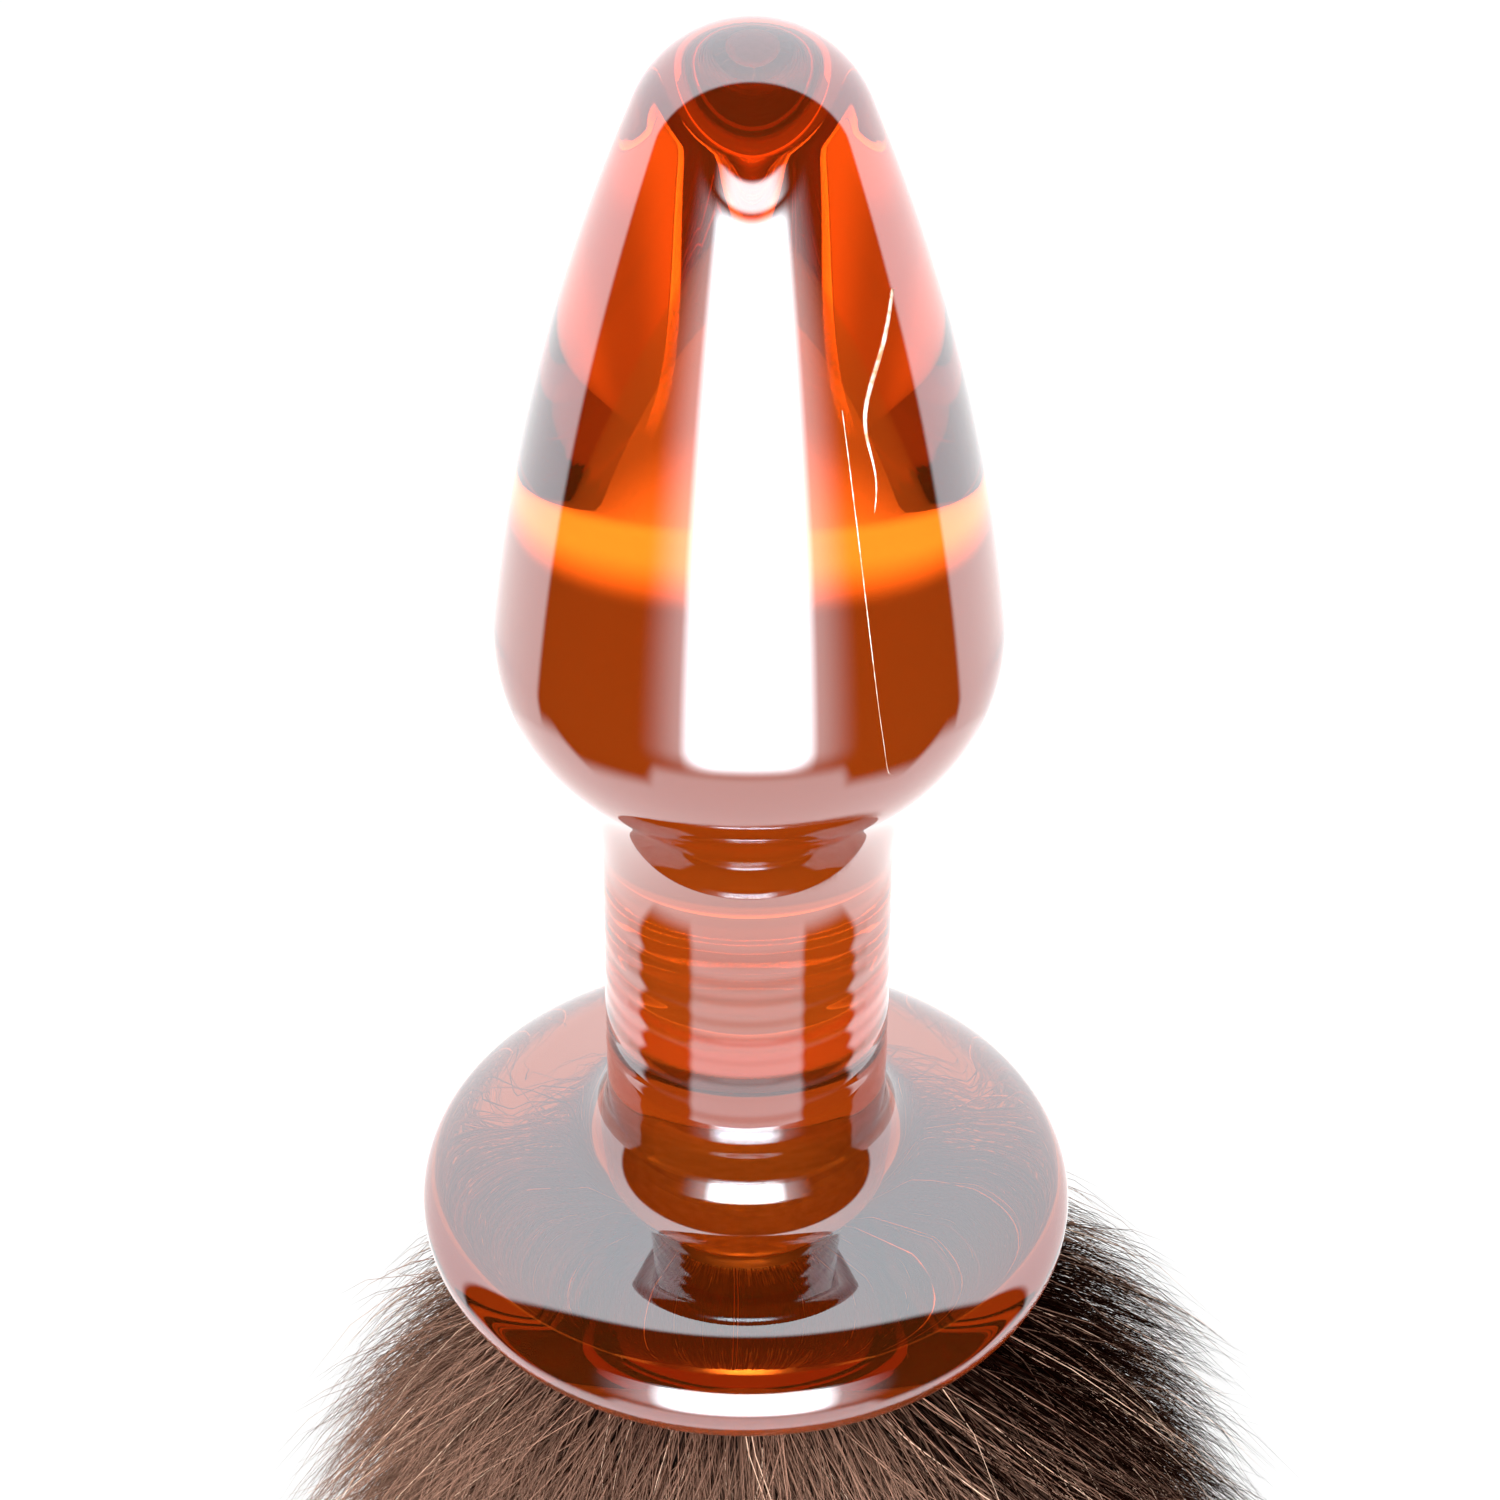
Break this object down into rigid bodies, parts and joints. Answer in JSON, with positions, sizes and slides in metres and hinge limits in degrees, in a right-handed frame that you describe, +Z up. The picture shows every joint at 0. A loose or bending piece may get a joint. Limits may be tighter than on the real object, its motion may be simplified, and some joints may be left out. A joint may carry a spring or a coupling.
{
  "type": "glass plug with fur tail",
  "caption": "Solid amber glass plug, tapered above a short neck and a flared round base, with a bending fur tail glued into a socket in its underside.",
  "frame": {"origin": "centre of the base's flat underside", "axes": "+Z up the plug's axis to its tip; the tail hangs straight down along -Z at rest; the hide's seam faces +Y"},
  "size_m": [0.0874, 0.0874, 0.4305],
  "materials": {
    "amber_glass": "polished solid amber glass with a faint lustre",
    "adhesive": "clear yellowish cured glue",
    "cap_metal": "satin spun metal",
    "hide": "undyed tanned skin side",
    "filling": "soft cotton filling",
    "thread": "waxed dark brown thread",
    "fur": "long grey-brown fur with dark tips and a dark stripe"
  },
  "bodies": {
    "plug": {"glass_plug": "amber_glass", "socket_adhesive": "adhesive", "tail_cap": "cap_metal", "cap_adhesive": "adhesive", "hide_root": "hide", "filling_root": "filling", "binding_thread": "thread"},
    "tail_throat": {"hide_throat": "hide", "filling_throat": "filling", "seam_throat": "thread", "fur_throat": "fur"},
    "tail_upper": {"hide_upper": "hide", "filling_upper": "filling", "seam_upper": "thread", "fur_upper": "fur"},
    "tail_middle": {"hide_middle": "hide", "filling_middle": "filling", "seam_middle": "thread", "fur_middle": "fur"},
    "tail_lower": {"hide_lower": "hide", "filling_lower": "filling", "seam_lower": "thread", "fur_lower": "fur"}
  },
  "joints": [
    {"name": "throat_bend", "type": "hinge", "parent": "plug", "child": "tail_throat", "pos_m": [0, 0, -0.01], "axis": [1, 0, 0], "range_deg": [-30, 30]},
    {"name": "upper_bend", "type": "hinge", "parent": "tail_throat", "child": "tail_upper", "pos_m": [0, 0, -0.045], "axis": [0, 1, 0], "range_deg": [-30, 30]},
    {"name": "middle_bend", "type": "hinge", "parent": "tail_upper", "child": "tail_middle", "pos_m": [0, 0, -0.12], "axis": [1, 0, 0], "range_deg": [-30, 30]},
    {"name": "lower_bend", "type": "hinge", "parent": "tail_middle", "child": "tail_lower", "pos_m": [0, 0, -0.205], "axis": [0, 1, 0], "range_deg": [-30, 30]}
  ]
}
